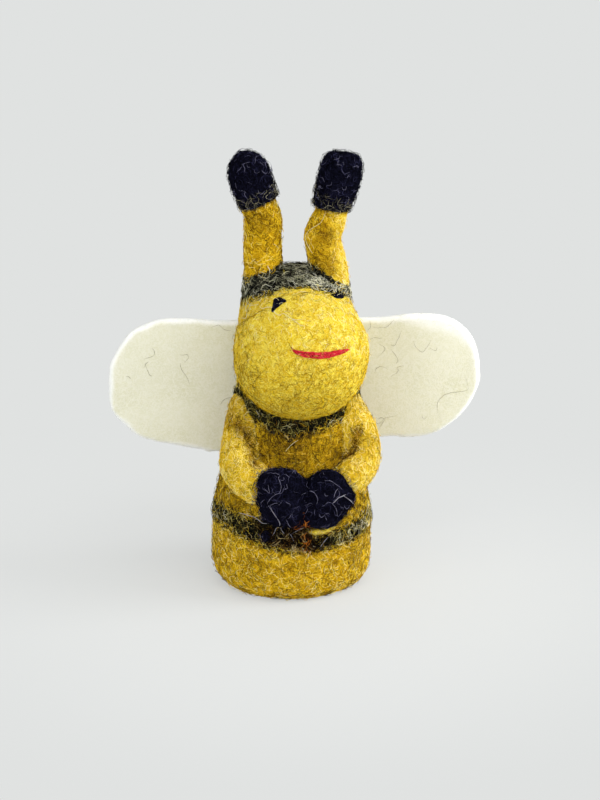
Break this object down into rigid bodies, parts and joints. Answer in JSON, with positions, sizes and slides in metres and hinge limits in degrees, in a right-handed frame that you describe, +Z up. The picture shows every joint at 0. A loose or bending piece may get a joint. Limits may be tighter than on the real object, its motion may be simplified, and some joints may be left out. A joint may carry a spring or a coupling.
{
  "type": "finger puppet",
  "caption": "Wet-felted wool bee finger puppet with a hollow body, round face, feelers, folded arms and a flat sewn pair of wings.",
  "frame": {"origin": "under the middle of the puppet's box, on the surface that its hem stands on", "axes": "+Z up along the body to the feelers, -Y out of the face, +X to the puppet's own left"},
  "size_m": [0.093, 0.0444, 0.1099],
  "materials": {
    "golden_wool": "matted golden yellow wool felt with loose curly fibres",
    "bright_wool": "matted bright yellow wool felt with loose curly fibres",
    "dark_wool": "thin matted dark grey wool with yellow and pale fibres in it",
    "black_wool": "matted blue-black wool felt",
    "red_wool": "twisted red wool",
    "cream_felt": "flat cream sheet felt with a soft nap",
    "cream_thread": "cream sewing thread"
  },
  "bodies": {
    "root": {"body": "golden_wool", "head_cap": "dark_wool", "neck_band": "dark_wool", "belly_band": "dark_wool", "muzzle": "bright_wool", "mouth": "red_wool", "right_eye": "black_wool", "left_eye": "black_wool", "right_arm": "golden_wool", "left_arm": "golden_wool", "right_hand": "black_wool", "left_hand": "black_wool", "right_feeler": "golden_wool", "left_feeler": "golden_wool", "right_feeler_tip": "black_wool", "left_feeler_tip": "black_wool", "wings": "cream_felt", "wing_stitch_1": "cream_thread", "wing_stitch_2": "cream_thread", "wing_stitch_3": "cream_thread", "wing_stitch_4": "cream_thread"}
  },
  "joints": []
}
